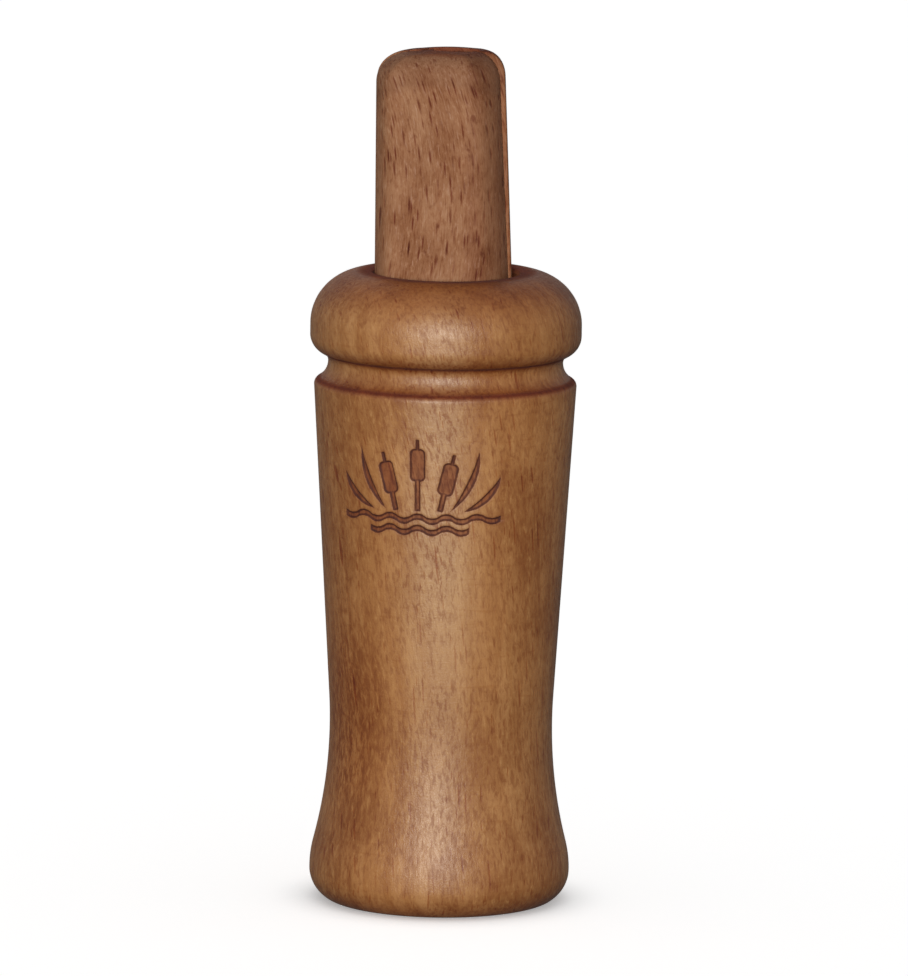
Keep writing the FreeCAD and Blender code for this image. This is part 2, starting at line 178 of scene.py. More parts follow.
# Each half is turned about its own leaning axis. Its tip is a low dome, crown high, in a rounded corner.
HALVES = {
    "board": {
        "height": 38.3,
        "base": 9.72,
        "tip": 9.03,
        "round": 3.75,
        "crown": 0.36,
        "shift": 0.35,
        "lean": math.radians(1.4),
        "side": 1,
    },
    "cheek": {
        "height": 38.15,
        "base": 9.56,
        "tip": 8.7,
        "round": 4.2,
        "crown": 0.3,
        "shift": 0.5,
        "lean": math.radians(1.7),
        "side": -1,
    },
}


# ---------------- outlines and meshes


def smooth_step(low, high, value):
    share = np.clip((np.asarray(value, float) - low) / (high - low), 0, 1)
    return share * share * (3 - 2 * share)


def side_points(start, end, bend, spacing):
    """Points along a side of an outline, without its end: straight, or an arc if bend is (radius, turn)."""
    start, end = np.array(start, float), np.array(end, float)
    chord = end - start
    length = np.hypot(*chord)
    count = max(1, math.ceil(length / spacing))
    if bend is None:
        return start + chord * np.arange(count)[:, None] / count
    radius, turn = bend
    left = np.array((-chord[1], chord[0])) / length
    centre = (start + end) / 2 + left * turn * math.sqrt(radius**2 - length**2 / 4)
    first = math.atan2(start[1] - centre[1], start[0] - centre[0])
    sweep = 2 * math.asin(length / 2 / radius) * turn
    angles = first + sweep * np.arange(count) / count
    return centre + radius * np.column_stack((np.cos(angles), np.sin(angles)))


def outline_points(corners):
    """A closed outline from corners (across, up, bend and point spacing of the side that starts there)."""
    sides = []
    for number, (across, up, bend, spacing) in enumerate(corners):
        following = corners[(number + 1) % len(corners)]
        sides.append(side_points((across, up), following[:2], bend, spacing))
    return np.vstack(sides)


def arc_points(centre, radius, angles):
    return np.column_stack((centre[0] + radius * np.cos(angles), centre[1] + radius * np.sin(angles)))


def make_piece(name, points, faces):
    """A smooth-shaded mesh object from points in millimetres, with its sharp edges kept sharp."""
    mesh = bpy.data.meshes.new(name)
    mesh.from_pydata((np.asarray(points) * MM).tolist(), [], faces)
    mesh.shade_smooth()
    mesh.set_sharp_from_angle(angle=SHARP_ANGLE)
    piece = bpy.data.objects.new(name, mesh)
    bpy.context.scene.collection.objects.link(piece)
    return piece


def grid_faces(rows, columns, closed_rows, flip=False):
    """Quads between the points of a grid whose columns close on themselves."""
    faces = []
    for row in range(rows if closed_rows else rows - 1):
        here = row * columns
        above = (row + 1) % rows * columns
        for column in range(columns):
            beside = (column + 1) % columns
            quad = (here + column, here + beside, above + beside, above + column)
            faces.append(quad[::-1] if flip else quad)
    return faces


def store(piece, name, values):
    attribute = piece.data.attributes.new(name, "FLOAT", "POINT")
    attribute.data.foreach_set("value", np.asarray(values, np.float32).ravel())


def turned(name, profile, angles, dent=None):
    """A closed surface turned about Z. dent(x, z) says how far the surface lies below the profile."""
    radius = profile[:, 0][:, None] * np.ones(len(angles))
    height = profile[:, 1][:, None] * np.ones(len(angles))
    if dent is not None:
        radius = radius - dent(radius * np.cos(angles), radius * np.sin(angles), height)
    points = np.stack((radius * np.cos(angles), radius * np.sin(angles), height), axis=-1)
    faces = grid_faces(len(profile), len(angles), closed_rows=True)
    return make_piece(name, points.reshape(-1, 3), faces)


# ---------------- ornament: cattails over ripples

STEM_HALF_WIDTH = 0.4
HEAD_HALF_WIDTH = 1.1
HEAD_LENGTH = 4.6
SPIKE_HALF_WIDTH = 0.25
SPIKE_LENGTH = 1.3
RIPPLE_HALF_PITCH = 2.0
RIPPLE_ROUND = 1.7
RIPPLE_THICKNESS = 0.9
# Foot of each cattail's stem, the stem's length, and its lean in degrees.
CATTAILS = ((0.0, -3.3, 4.2, 0.0), (-3.1, -3.3, 2.4, 14.0), (3.1, -3.3, 2.4, -14.0))
# Foot, tip, and the radii of the outer and inner edge of each right-hand leaf. The left side mirrors them.
LEAVES = ((4.6, -3.2, 8.4, 5.2, 9.0, 30.0), (6.3, -3.3, 11.0, 1.5, 5.0, 16.0))
# Middle height and number of half waves of each ripple.
RIPPLES = ((-4.4, 11), (-6.0, 7))


def bar_distance(x, y, half_width, low, high, corner):
    """Distance from an upright bar with rounded corners, negative inside."""
    across = np.abs(x) - half_width + corner
    along = np.abs(y - (low + high) / 2) - (high - low) / 2 + corner
    outside = np.hypot(np.maximum(across, 0), np.maximum(along, 0))
    return outside + np.minimum(np.maximum(across, along), 0) - corner


def cattail_distance(x, y, foot_x, foot_y, stem, lean):
    angle = math.radians(lean)
    across = (x - foot_x) * math.cos(angle) + (y - foot_y) * math.sin(angle)
    along = (y - foot_y) * math.cos(angle) - (x - foot_x) * math.sin(angle)
    top = stem + HEAD_LENGTH
    stalk = bar_distance(across, along, STEM_HALF_WIDTH, 0, stem + STEM_HALF_WIDTH, 0)
    head = bar_distance(across, along, HEAD_HALF_WIDTH, stem, top, HEAD_HALF_WIDTH - STEM_HALF_WIDTH)
    spike = bar_distance(across, along, SPIKE_HALF_WIDTH, stem, top + SPIKE_LENGTH, 0)
    return np.minimum(np.minimum(stalk, head), spike)


def circle_through(start, end, radius):
    """Centre of the circle through both points that lies to the left of the way from start to end."""
    chord = np.array(end) - np.array(start)
    length = np.hypot(*chord)
    left = np.array((-chord[1], chord[0])) / length
    return (np.array(start) + np.array(end)) / 2 + left * math.sqrt(radius**2 - length**2 / 4)


def leaf_distance(x, y, foot_x, foot_y, tip_x, tip_y, outer, inner):
    """Distance from a right-hand leaf and its mirror image, which lie between two circles."""
    edge = []
    for radius in (outer, inner):
        centre = circle_through((foot_x, foot_y), (tip_x, tip_y), radius)
        edge.append(np.hypot(np.abs(x) - centre[0], y - centre[1]) - radius)
    return np.maximum(edge[0], -edge[1])


def ripple_distance(x, y, height, waves):
    """Distance from a band along arcs that bend down and up in turn."""
    half_length = RIPPLE_HALF_PITCH * waves / 2
    along = x + half_length
    wave = np.floor(along / RIPPLE_HALF_PITCH)
    from_middle = np.clip(along - (wave + 0.5) * RIPPLE_HALF_PITCH, -1, 1)
    rise = np.sqrt(RIPPLE_ROUND**2 - from_middle**2)
    swing = rise - math.sqrt(RIPPLE_ROUND**2 - RIPPLE_HALF_PITCH**2 / 4)
    middle = height + np.where(wave % 2 == 0, -swing, swing)
    band = (np.abs(y - middle) - RIPPLE_THICKNESS / 2) * rise / RIPPLE_ROUND
    return np.maximum(band, np.abs(x) - half_length)


def ornament_distance(x, z):
    y = z - ORNAMENT_HEIGHT
    distances = [cattail_distance(x, y, *sizes) for sizes in CATTAILS]
    distances += [leaf_distance(x, y, *sizes) for sizes in LEAVES]
    distances += [ripple_distance(x, y, *sizes) for sizes in RIPPLES]
    return np.minimum.reduce(distances)


# ---------------- barrel


def barrel_corners():
    """Half section of the barrel, anticlockwise from the foot: up the outside and down the bore."""

    def on_taper(height):
        share = (height - TAPER_START[1]) / (TAPER_END[1] - TAPER_START[1])
        return (TAPER_START[0] + share * (TAPER_END[0] - TAPER_START[0]), height)

    return [
        (MOUTH_RADIUS + MOUTH_ROUND, 0.0, None, 0.6),
        (*FOOT_RING, (FOOT_RING_ROUND, 1), 0.2),
        (*FOOT_ROLL, (FOOT_ROLL_ROUND, 1), 0.3),
        (*FOOT_SIDE, (FOOT_SIDE_ROUND, 1), 0.4),
        (*FLARE, (FLARE_ROUND, -1), 0.5),
        (*TAPER_START, None, 0.8),
        (*on_taper(ORNAMENT_LOW), None, 0.15),
        (*on_taper(ORNAMENT_HIGH), None, 0.5),
        (*TAPER_END, (TAPER_EDGE_ROUND, 1), 0.12),
        (*GROOVE_LOW, (GROOVE_LOW_ROUND, -1), 0.14),
        (*GROOVE_FLOOR, (GROOVE_FLOOR_ROUND, -1), 0.14),
        (*GROOVE_HIGH, (GROOVE_HIGH_ROUND, 1), 0.2),
        (BEAD_RADIUS, BEAD_SIDE_LOW, None, 0.5),
        (BEAD_RADIUS, BEAD_SIDE_HIGH, (BEAD_ROUND, 1), 0.3),
        (BEAD_RADIUS - BEAD_ROUND, RIM_HEIGHT, None, 0.3),
        (BORE_RADIUS + LIP_ROUND, RIM_HEIGHT, (LIP_ROUND, 1), 0.12),
        (BORE_RADIUS, RIM_HEIGHT - LIP_ROUND, None, 1.6),
        (BORE_RADIUS, BORE_STOP, None, 0.4),
        (THROAT_RADIUS, BORE_STOP, None, 2.0),
        (THROAT_RADIUS, THROAT_END, (BELL_ROUND, 1), 1.2),
        (MOUTH_RADIUS, MOUTH_ROUND, (MOUTH_ROUND, 1), 0.16),
    ]


def barrel_angles():
    """Angles of the turned grid, finer across the ornament."""
    front = -math.pi / 2
    fine = np.linspace(front - ORNAMENT_HALF_ANGLE, front + ORNAMENT_HALF_ANGLE, 161)
    coarse = np.linspace(fine[-1], fine[0] + 2 * math.pi, 86)
    return np.concatenate((fine, coarse[1:-1]))


def around_ornament(radius, y, z):
    """True on the band of the barrel's outside that holds the ornament."""
    return (y < 0) & (radius > TAPER_START[0] - 1) & (z > ORNAMENT_LOW) & (z < ORNAMENT_HIGH)


def ornament_dent(x, y, z):
    """Depth of the burnt recess: full inside the ornament, with a wall a few tenths wide."""
    wall = 1 - smooth_step(*ORNAMENT_WALL, ornament_distance(x, z))
    return np.where(around_ornament(np.hypot(x, y), y, z), ORNAMENT_DEPTH * wall, 0.0)


def finish_and_painted_shade(profile):
    """How much finish has gathered at each point of the profile, with painted shade: full in the creases,
    round the bore and at the mouth.
    """
    shade = np.zeros(len(profile))
    for across, up, reach in (
        (*GROOVE_LOW, 0.6),
        (*GROOVE_HIGH, 0.5),
        (BORE_RADIUS + 0.6, RIM_HEIGHT, 2.0),
        (MOUTH_RADIUS + MOUTH_ROUND, 0.0, 1.5),
    ):
        gap = np.hypot(profile[:, 0] - across, profile[:, 1] - up)
        shade = np.maximum(shade, np.exp(-((gap / reach) ** 2)))
    return shade


def inside_shade(profile):
    """1 on the bored surfaces and 0 on the turned outside."""
    inner = profile[:, 0] < np.where(profile[:, 1] > BORE_STOP, BORE_RADIUS + 0.2, MOUTH_RADIUS + 0.2)
    return inner.astype(float)


def make_barrel():
    profile = outline_points(barrel_corners())
    angles = barrel_angles()
    piece = turned("turned_barrel", profile, angles, ornament_dent)
    radius = profile[:, 0][:, None]
    height = profile[:, 1][:, None] * np.ones(len(angles))
    marked = around_ornament(radius, np.sin(angles), height)
    distance = np.where(marked, ornament_distance(radius * np.cos(angles), height), FAR_FROM_ORNAMENT)
    store(piece, "ornament", np.minimum(distance, FAR_FROM_ORNAMENT))
    store(piece, "crease", np.repeat(finish_and_painted_shade(profile), len(angles)))
    store(piece, "inside", np.repeat(inside_shade(profile), len(angles)))
    return piece


# ---------------- mouthpiece halves


def flat_depth(height):
    """Distance of the lip flat from the split plane, with the shoulder that rounds it over at the tip."""
    share = (height - TENON_TOP) / (FLAT_TOP_HEIGHT - TENON_TOP)
    depth = FLAT_LOW + share * (FLAT_HIGH - FLAT_LOW)
    if height <= SHOULDER_START[1]:
        return depth
    centre = circle_through(SHOULDER_START, SHOULDER_END, SHOULDER_ROUND)
    rise = min(height - centre[1], SHOULDER_ROUND)
    return min(depth, centre[0] + math.sqrt(SHOULDER_ROUND**2 - rise**2))


def corner_start(half):
    """Height at which the rounded corner of a half's tip starts."""
    return BLADE_START + half["height"] - half["crown"] - half["round"]


def blade_radius(half, height):
    """Turned radius of the blade, which narrows to the tip and then rounds over."""
    start = corner_start(half)
    share = (min(height, start) - BLADE_START) / (start - BLADE_START)
    radius = half["base"] + share * (half["tip"] - half["base"])
    rise = min(max(0.0, height - start), half["round"])
    return radius - half["round"] + math.sqrt(half["round"] ** 2 - rise**2)


def dome_rise(half, height, across, depth):
    """How far the low dome at the tip lifts the points of a section, placed from the half's own axis."""
    start = corner_start(half)
    share = float(smooth_step(start, start + half["round"], height))
    reach = half["tip"] - half["round"]
    return half["crown"] * share * np.maximum(0, 1 - (across**2 + depth**2) / reach**2)


def tenon_section_radius(height):
    """Radius of the tenon, with its chamfered end and ring grooves."""
    for ring in ("lower_o_ring", "upper_o_ring"):
        low, high = box_mm(ring)
        if abs(height - (low.z + high.z) / 2) < RING_GROOVE_HALF:
            return RING_GROOVE_RADIUS
    return TENON_RADIUS - max(0.0, TENON_CHAMFER - (height - TENON_BOTTOM))


def outer_section(radius, flat, border_round, edge_round):
    """Half of a round section from the right split edge to the left one, with its lip flat."""
    edge_angle = math.asin(edge_round / radius)
    edge_x = math.sqrt(radius**2 - edge_round**2)
    corner = np.radians(np.linspace(-90, 0, 5))[:-1]
    points = [arc_points((edge_x - edge_round, edge_round), edge_round, corner)]
    if flat > radius - 0.02:
        points.append(arc_points((0, 0), radius, np.linspace(edge_angle, math.pi / 2, 33)))
    else:
        border_y = flat - border_round
        border_x = math.sqrt(max((radius - border_round) ** 2 - border_y**2, 0))
        turn = math.atan2(border_y, border_x)
        points.append(arc_points((0, 0), radius, np.linspace(edge_angle, turn, 13)[:-1]))
        points.append(arc_points((border_x, border_y), border_round, np.linspace(turn, math.pi / 2, 11)))
        across = np.linspace(border_x, 0, 11)[1:]
        crown = FLAT_CROWN * (1 - (across / border_x) ** 2)
        points.append(np.column_stack((across, flat + crown)))
    right = np.vstack(points)
    left = right[-2::-1] * (-1, 1)
    return np.vstack((right, left))


def split_columns(edge, track, slot):
    """Places across the split face, from left to right, each with the zone it lies in."""
    borders = (0.0, CHANNEL_HALF_WIDTH, slot, track, edge)
    counts = (10, 4, 5, 3)
    right = []
    for zone, count in enumerate(counts):
        first = borders[zone] + (0.0 if zone == CHANNEL else EDGE_GAP)
        last = borders[zone + 1] - (0.0 if zone == RIM else EDGE_GAP)
        places = np.linspace(0, 1, count + 1)
        if zone == CHANNEL:
            places = np.sin(places * math.pi / 2)
        if zone == RIM:
            places = places[:-1]
        right += [(first + (last - first) * place, zone) for place in places]
    left = [(-across, zone) for across, zone in reversed(right[1:])]
    return left + right


def board_hollow(across, zone, height):
    """Depth of the tone board's face: the reed's ramp, the tone channel under it and the mouth slot."""
    depth = 0.0
    if zone <= TRACK and RAMP_START < height < RAMP_END:
        depth = RAMP_DROP * (height - RAMP_START) / (RAMP_END - RAMP_START)
    if zone <= SLOT and height > CHAMBER_END:
        depth = max(depth, SLOT_DEPTH)
    if zone == CHANNEL and height < CHANNEL_TOP:
        centre = CHANNEL_WALL - math.sqrt(CHANNEL_ROUND**2 - CHANNEL_HALF_WIDTH**2)
        depth = centre + math.sqrt(CHANNEL_ROUND**2 - across**2)
    return depth


def cheek_hollow(across, zone, height):
    """Depth of the cheek's face: the wedge's seat, the chamber over the reed and the mouth slot."""
    if zone == RIM:
        return 0.0
    if height < WEDGE_TOP:
        share = max(0.0, height - WEDGE_BOTTOM) / (WEDGE_TOP - WEDGE_BOTTOM)
        return REED_THICKNESS + WEDGE_THICK + share * (WEDGE_THIN - WEDGE_THICK)
    if height < RAMP_END:
        heights = (WEDGE_TOP, CHAMBER_START, CHAMBER_END, RAMP_END)
        return float(np.interp(height, heights, (CHAMBER_LIP, CHAMBER_DEPTH, CHAMBER_DEPTH, SLOT_DEPTH)))
    return SLOT_DEPTH if zone <= SLOT else 0.0


def half_heights(half):
    """Heights of a half's sections, with a pair at each step of its shape."""
    round_start = corner_start(half)
    steps = [TENON_BOTTOM + TENON_CHAMFER, WEDGE_TOP, TENON_TOP, CHANNEL_TOP, CHAMBER_END, RAMP_END]
    for ring in ("lower_o_ring", "upper_o_ring"):
        low, high = box_mm(ring)
        middle = (low.z + high.z) / 2
        steps += [middle - RING_GROOVE_HALF, middle + RING_GROOVE_HALF]
    borders = sorted([TENON_BOTTOM, WEDGE_BOTTOM, RAMP_START, CHAMBER_START, round_start, *steps])
    heights = [TENON_BOTTOM]
    for low, high in zip(borders, borders[1:]):
        first = low + (EDGE_GAP if low in steps else 0.0)
        last = high - (EDGE_GAP if high in steps else 0.0)
        count = max(1, math.ceil((last - first) / ROW_SPACING))
        if low in steps:
            heights.append(first)
        heights += [first + (last - first) * n / count for n in range(1, count + 1)]
    tip = np.sin(np.radians(np.linspace(0, 90, 22)))[1:]
    return heights + list(round_start + half["round"] * tip)


def sanding(x, height):
    """Small unevenness left by sanding the blade by hand."""
    waves = np.sin(0.41 * x + 0.33 * height + 1.0) + np.sin(0.77 * x - 0.21 * height + 2.6)
    return HAND_SANDING * 0.5 * waves


def section_outside(half, height, radius, edge_round, shift):
    """The part of a section round the outside, with its flat, its lean and its dome at the tip."""
    on_blade = height > TENON_TOP
    flat = flat_depth(height) if on_blade else radius
    border_round = FLAT_ROUND - BORDER_LOSS * float(smooth_step(*BORDER_FADE, height))
    outer = outer_section(radius, flat, min(border_round, flat * 0.5), edge_round)
    across, depth = outer[:, 0], outer[:, 1]
    lean = math.sin(half["lean"]) * float(smooth_step(TENON_TOP, TENON_TOP + 4, height))
    rise = across * lean + dome_rise(half, height, across, depth)
    painted_sheen = sanding(across, height) * smooth_step(0.5, 2.5, depth) if on_blade else 0
    return np.column_stack((across - shift, depth + painted_sheen, height + rise))


def section_face(half, height, edge, shift, hollow):
    """The part of a section along the split face, from left to right."""
    left_edge, right_edge = -edge - shift, edge - shift
    reach = min(-left_edge, right_edge)
    slot = min(SLOT_HALF_WIDTH, reach - 0.1)
    track = TRACK_HALF_WIDTH if height > WEDGE_TOP else SEAT_HALF_WIDTH
    track = min(track, slot + (reach - slot) * 0.6)
    lean = math.sin(half["lean"]) * float(smooth_step(RAMP_END, LEAN_FADE_END, height))
    points = []
    for across, zone in split_columns(reach, track, slot):
        if zone == RIM:
            bound = right_edge if across > 0 else -left_edge
            share = (abs(across) - track) / (reach - track)
            across = math.copysign(track + share * (bound - track), across)
        depth = hollow(across, zone, height)
        rise = (across + shift) * lean + dome_rise(half, height, across + shift, depth)
        points.append((across, depth, height + rise))
    return points


def half_section(half, height, hollow):
    """One closed section of a half: round its outside, then back along the split face."""
    on_blade = height > TENON_TOP
    radius = blade_radius(half, height) if on_blade else tenon_section_radius(height)
    shift = half["shift"] + (height - BLADE_START) * math.sin(half["lean"]) if on_blade else 0.0
    edge_round = max(THIN_EDGE_ROUND, min(SPLIT_EDGE_ROUND, (radius - SLOT_HALF_WIDTH - 0.05) / 2))
    edge = math.sqrt(radius**2 - edge_round**2) - edge_round
    outside = section_outside(half, height, radius, edge_round, shift)
    return np.vstack((outside, section_face(half, height, edge, shift, hollow)))


def make_half(name, half, hollow):
    """A half of the mouthpiece, as a stack of sections closed at both ends."""
    heights = half_heights(half)
    sections = [half_section(half, height, hollow) for height in heights]
    count = len(sections[0])
    points = np.vstack(sections) * (1, half["side"], 1)
    points[:, 0] += TIP_SWAY * np.maximum(0, points[:, 2] - TIP_SWAY_START) ** 2
    flip = half["side"] < 0
    faces = grid_faces(len(sections), count, closed_rows=False, flip=flip)
    bottom = list(range(count))
    top = [count * (len(sections) - 1) + n for n in range(count)]
    faces.append(bottom if flip else bottom[::-1])
    faces.append(top[::-1] if flip else top)
    turn = np.array(Matrix.Rotation(MOUTHPIECE_TURN, 3, "Z"))
    piece = make_piece(name, points @ turn.T, faces)
    close_ends(piece)
    return piece


def close_ends(piece):
    """Splits the many-sided end faces into triangles."""
    shape = bmesh.new()
    shape.from_mesh(piece.data)
    ends = [face for face in shape.faces if len(face.verts) > 4]
    bmesh.ops.triangulate(shape, faces=ends, ngon_method="BEAUTY")
    shape.to_mesh(piece.data)
    shape.free()
    piece.data.set_sharp_from_angle(angle=SHARP_ANGLE)


# ---------------- reed, wedge and rings


def reed_half_width(height, top):
    rise = max(0.0, height - (top - REED_CORNER))
    return REED_HALF_WIDTH - REED_CORNER + math.sqrt(max(REED_CORNER**2 - rise**2, 0))


def reed_section(half, height):
    """One closed section of the reed, with a fine bevel along its four edges."""
    across = np.linspace(-half + REED_BEVEL, half - REED_BEVEL, 15)
    front = [(x, -REED_THICKNESS, height) for x in across]
    right = [(half, -REED_THICKNESS + REED_BEVEL, height), (half, -REED_BEVEL, height)]
    back = [(x, 0.0, height) for x in across[::-1]]
    left = [(-half, -REED_BEVEL, height), (-half, -REED_THICKNESS + REED_BEVEL, height)]
    return front + right + back + left


def make_reed():
    """The whole reed, from its clamped tail to its rounded tip, as one thin strip."""
    low = box_mm("reed_tail")[0]
    high = box_mm("reed_tongue")[1]
    straight = np.arange(low.z, high.z - REED_CORNER, ROW_SPACING)
    curved = high.z - REED_CORNER + REED_CORNER * np.sin(np.radians(np.linspace(0, 88, 14)))
    heights = np.concatenate((straight, curved))
    sections = [reed_section(reed_half_width(height, high.z), height) for height in heights]
    count = len(sections[0])
    faces = grid_faces(len(sections), count, closed_rows=False)
    faces.append(list(range(count))[::-1])
    faces.append([count * (len(sections) - 1) + n for n in range(count)])
    turn = np.array(Matrix.Rotation(MOUTHPIECE_TURN, 3, "Z"))
    piece = make_piece("bending_reed", np.vstack(sections) @ turn.T, faces)
    close_ends(piece)
    return piece


def make_wedge():
    """A knife-cut slice of cork with pitted faces."""
    shape = bmesh.new()
    bmesh.ops.create_cube(shape, size=2)
    bmesh.ops.subdivide_edges(shape, edges=shape.edges, cuts=34, use_grid_fill=True)
    turn = Matrix.Rotation(MOUTHPIECE_TURN, 3, "Z")
    for corner in shape.verts:
        across, through, up = corner.co
        share = (up + 1) / 2
        thickness = WEDGE_THICK + share * (WEDGE_THIN - WEDGE_THICK)
        place = Vector((across * WEDGE_HALF_WIDTH, 0, WEDGE_BOTTOM + share * (WEDGE_TOP - WEDGE_BOTTOM)))
        place.y = -REED_THICKNESS - thickness * (1 - through) / 2
        pit = max(0.0, noise.noise(place * 0.9) - 0.15) + 0.5 * max(0.0, noise.noise(place * 2.6) - 0.2)
        inward = -Vector([axis * (abs(axis) > 0.999) for axis in corner.co])
        corner.co = turn @ (place + inward * min(PIT_DEPTH, 0.5 * pit)) * MM
    mesh = bpy.data.meshes.new("cork_slice")
    shape.to_mesh(mesh)
    shape.free()
    mesh.shade_smooth()
    mesh.set_sharp_from_angle(angle=math.radians(60))
    piece = bpy.data.objects.new("cork_slice", mesh)
    bpy.context.scene.collection.objects.link(piece)
    return piece


def make_ring(level):
    """A rubber ring with the fine flash line of its mould."""
    low, high = box_mm(f"{level}_o_ring")
    middle = (low.z + high.z) / 2
    cord = (high.z - low.z) / 2
    centre = high.x - cord
    around = np.linspace(0, 2 * math.pi, 41)[:-1]
    flash = 0.02 * np.exp(-((np.sin(around) / 0.09) ** 2))
    reach = cord - 0.02 + flash
    profile = np.column_stack((centre + reach * np.cos(around), middle + reach * np.sin(around)))
    angles = np.linspace(0, 2 * math.pi, 181)[:-1]
    return turned(f"{level}_rubber_ring", profile, angles)


# ---------------- materials


class Graph:
    """Builds the nodes of one material. Every value may be a number, a tuple or another node's output."""

    def __init__(self, name):
        self.material = bpy.data.materials.new(name)
        self.material.use_nodes = True
        self.nodes = self.material.node_tree.nodes
        self.links = self.material.node_tree.links
        self.shader = self.nodes["Principled BSDF"]

    def put(self, socket, value):
        if isinstance(value, bpy.types.NodeSocket):
            self.links.new(value, socket)
        elif isinstance(value, (tuple, list)) and socket.type == "RGBA" and len(value) == 3:
            socket.default_value = (*value, 1.0)
        else:
            socket.default_value = value

    def add(self, kind, inputs, output=0, **settings):
        node = self.nodes.new(kind)
        for name, value in settings.items():
            setattr(node, name, value)
        for name, value in inputs.items():
            self.put(node.inputs[name], value)
        return node.outputs[output]

    def finish(self, **inputs):
        for name, value in inputs.items():
            self.put(self.shader.inputs[name.replace("_", " ")], value)
        return self.material

    def place(self):
        """The object's own coordinates in millimetres."""
        own = self.add("ShaderNodeTexCoord", {}, "Object")
        return self.add("ShaderNodeVectorMath", {0: own, "Scale": 1 / MM}, operation="SCALE")

    def attribute(self, name):
        return self.add("ShaderNodeAttribute", {}, "Fac", attribute_name=name)

    def axis(self, vector, name):
        return self.add("ShaderNodeSeparateXYZ", {"Vector": vector}, name)

    def calc(self, operation, first, second=0.0, third=0.0):
        return self.add("ShaderNodeMath", {0: first, 1: second, 2: third}, operation=operation)

    def vector(self, operation, first, second):
        return self.add("ShaderNodeVectorMath", {0: first, 1: second}, operation=operation)

    def stretch(self, place, across, along, offset=(0, 0, 0), deep=None):
        """The place in cells: across by deep by along millimetres."""
        sizes = (1 / across, 1 / (deep or across), 1 / along)
        return self.add("ShaderNodeMapping", {"Vector": place, "Scale": sizes, "Location": offset})

    def noise(self, place, scale=1.0, detail=2.0, roughness=0.5, distortion=0.0, output=0):
        inputs = {
            "Vector": place,
            "Scale": scale,
            "Detail": detail,
            "Roughness": roughness,
            "Distortion": distortion,
        }
        return self.add("ShaderNodeTexNoise", inputs, output)

    def spots(self, place, size, share=1.0, soft=0.4):
        """Lens-shaped spots, one in that share of the cells, of that radius in cells. 1 inside a spot."""
        cells = self.nodes.new("ShaderNodeTexVoronoi")
        self.put(cells.inputs["Vector"], place)
        self.put(cells.inputs["Scale"], 1.0)
        pick = self.add("ShaderNodeSeparateColor", {"Color": cells.outputs["Color"]})
        limit = self.calc("MULTIPLY", self.calc("LESS_THAN", pick, share), size)
        near = self.calc("SUBTRACT", limit, cells.outputs["Distance"])
        return self.ramp(near, 0.0, size * soft)

    def ramp(self, value, low, high, to_low=0.0, to_high=1.0):
        inputs = {"Value": value, "From Min": low, "From Max": high, "To Min": to_low, "To Max": to_high}
        return self.add("ShaderNodeMapRange", inputs, interpolation_type="SMOOTHSTEP")

    def mix(self, share, first, second, blend="MIX"):
        inputs = {0: share, 6: first, 7: second}
        return self.add("ShaderNodeMix", inputs, 2, data_type="RGBA", blend_type=blend)

    def shade(self, colour, share, tint):
        """Multiplies the colour by a tint where share is 1."""
        return self.mix(share, colour, tint, "MULTIPLY")

    def shades(self, colour, *steps):
        """Multiplies the colour by each step's tint where that step's share is 1."""
        for share, tint in steps:
            colour = self.shade(colour, share, tint)
        return colour

    def pile(self, height, *layers):
        """Adds each layer to the height, times its weight."""
        for layer, weight in layers:
            height = self.calc("MULTIPLY_ADD", layer, weight, height)
        return height

    def bump(self, height, distance):
        inputs = {"Height": height, "Distance": distance * MM, "Strength": 1.0}
        return self.add("ShaderNodeBump", inputs)


def grain(graph, place, reach, turn, bow, middle):
    """The place with the wood's own wander, and a bow about a middle height, so no line is straight."""
    drift = graph.noise(graph.stretch(place, 26, 42), detail=1.0, output=1)
    centred = graph.vector("SUBTRACT", drift, (0.5, 0.5, 0.5))
    moved = graph.vector("ADD", place, graph.vector("MULTIPLY", centred, (reach, reach, 0)))
    gap = graph.calc("ABSOLUTE", graph.calc("SUBTRACT", graph.axis(place, "Z"), middle))
    sideways = graph.calc("MULTIPLY", graph.calc("POWER", gap, 2.0), bow)
    moved = graph.vector("ADD", moved, graph.add("ShaderNodeCombineXYZ", {"X": sideways}))
    return graph.add("ShaderNodeMapping", {"Vector": moved, "Rotation": (0, 0, turn)})


def facing_up_or_down(graph):
    """1 where the surface faces up or down, and 0 where it faces sideways."""
    facing = graph.add("ShaderNodeTexCoord", {}, "Normal")
    return graph.ramp(graph.calc("ABSOLUTE", graph.axis(facing, "Z")), 0.15, 0.9)


def patch(graph, place, middle, across, along):
    """1 in the middle of a soft oval patch, fading to 0 at its edge."""
    gap = graph.vector("SUBTRACT", place, middle)
    scaled = graph.vector("MULTIPLY", gap, (1 / across, 1 / across, 1 / along))
    length = graph.add("ShaderNodeVectorMath", {0: scaled}, "Value", operation="LENGTH")
    return graph.ramp(length, 1.0, 0.2)


def growth_rings(graph, wood, spacing, pith, slope):
    """0 through most of each year's growth, rising to 1 in its thin dark late wood."""
    across = graph.calc("MULTIPLY_ADD", graph.axis(wood, "Z"), slope, graph.axis(wood, "X"))
    deep = graph.calc("ADD", graph.axis(wood, "Y"), pith)
    squares = graph.calc("ADD", graph.calc("POWER", across, 2.0), graph.calc("POWER", deep, 2.0))
    years = graph.calc("DIVIDE", graph.calc("SQRT", squares), spacing)
    wander = graph.noise(graph.stretch(wood, 9, 30), detail=2.0)
    part = graph.calc("FRACT", graph.calc("MULTIPLY_ADD", wander, 1.1, years))
    return graph.calc("MULTIPLY", graph.ramp(part, 0.35, 0.9), graph.ramp(part, 1.0, 0.93))


